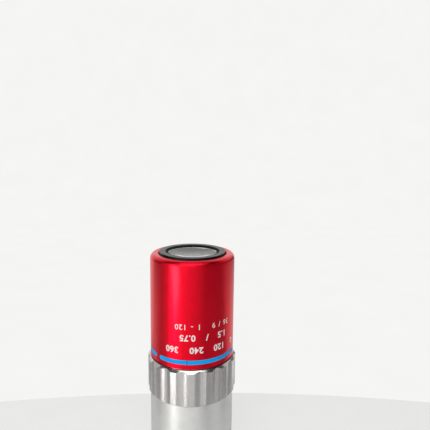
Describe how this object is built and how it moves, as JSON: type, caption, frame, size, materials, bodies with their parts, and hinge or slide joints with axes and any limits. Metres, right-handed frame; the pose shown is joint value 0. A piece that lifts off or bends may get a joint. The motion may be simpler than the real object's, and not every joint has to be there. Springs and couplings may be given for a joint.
{
  "type": "microscope objective",
  "caption": "Long-working-distance microscope objective with a threaded mount, plain barrel, fluted grip ring, anodised sleeve with a colour band, and a stack of lenses in cells.",
  "frame": {"origin": "centre of the threaded end's face, on the optical axis, where the objective stands", "axes": "+Z along the optical axis towards the front lens; -Y is the side that the picture shows"},
  "size_m": [0.034, 0.034, 0.083],
  "materials": {
    "satin_chrome": "satin chrome on brass",
    "bright_chrome": "bright machined and chromed brass",
    "red_anodised": "satin red anodising",
    "band_paint": "filled paint",
    "black_finish": "matt black finish on brass",
    "turned_brass": "fine turned",
    "screw_steel": "black oxide",
    "optical_glass": "polished and coated"
  },
  "bodies": {
    "root": {"mount_barrel": "satin_chrome", "grip_ring": "bright_chrome", "cover_sleeve": "red_anodised", "colour_band": "band_paint", "lens_barrel": "turned_brass", "parfocal_shim": "turned_brass", "lock_screws": "screw_steel", "front_cell": "black_finish", "front_lens": "optical_glass", "front_lens_retainer": "black_finish", "second_cell": "black_finish", "second_lens": "optical_glass", "third_cell": "black_finish", "third_lens_a": "optical_glass", "third_lens_b": "optical_glass", "fourth_cell": "black_finish", "fourth_lens_a": "optical_glass", "fourth_lens_b": "optical_glass", "long_spacer": "black_finish", "aperture_stop": "black_finish", "stop_spacer": "black_finish", "centring_cell": "black_finish", "centring_lens_a": "optical_glass", "centring_lens_b": "optical_glass", "centring_screws": "screw_steel", "rear_spacer": "black_finish", "rear_cell": "black_finish", "rear_lens": "optical_glass", "stack_retainer": "black_finish"}
  },
  "joints": []
}
